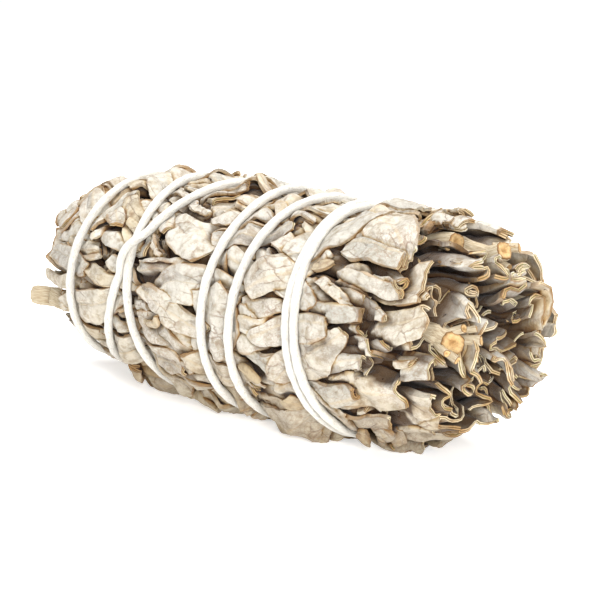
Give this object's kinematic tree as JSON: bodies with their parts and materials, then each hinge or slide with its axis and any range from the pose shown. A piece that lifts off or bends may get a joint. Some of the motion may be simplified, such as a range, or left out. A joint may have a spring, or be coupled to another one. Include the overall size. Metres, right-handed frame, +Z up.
{
  "type": "sage bunch",
  "caption": "Dried white sage bundle: leafy sprigs pressed together, wound with white cotton string and cut across at both ends, lying on its side.",
  "frame": {"origin": "on the surface, under the middle of the bundle", "axes": "+X along the bundle towards the end with the cut stems, +Z up"},
  "size_m": [0.1107, 0.0425, 0.0425],
  "materials": {
    "sage_leaf": "matte",
    "sage_stem": "matte",
    "cotton_string": "matte"
  },
  "bodies": {
    "root": {"sprig_top": "sage_leaf", "sprig_front": "sage_leaf", "sprig_under": "sage_leaf", "sprig_back": "sage_leaf", "sprig_top_back": "sage_leaf", "string": "cotton_string"}
  },
  "joints": []
}
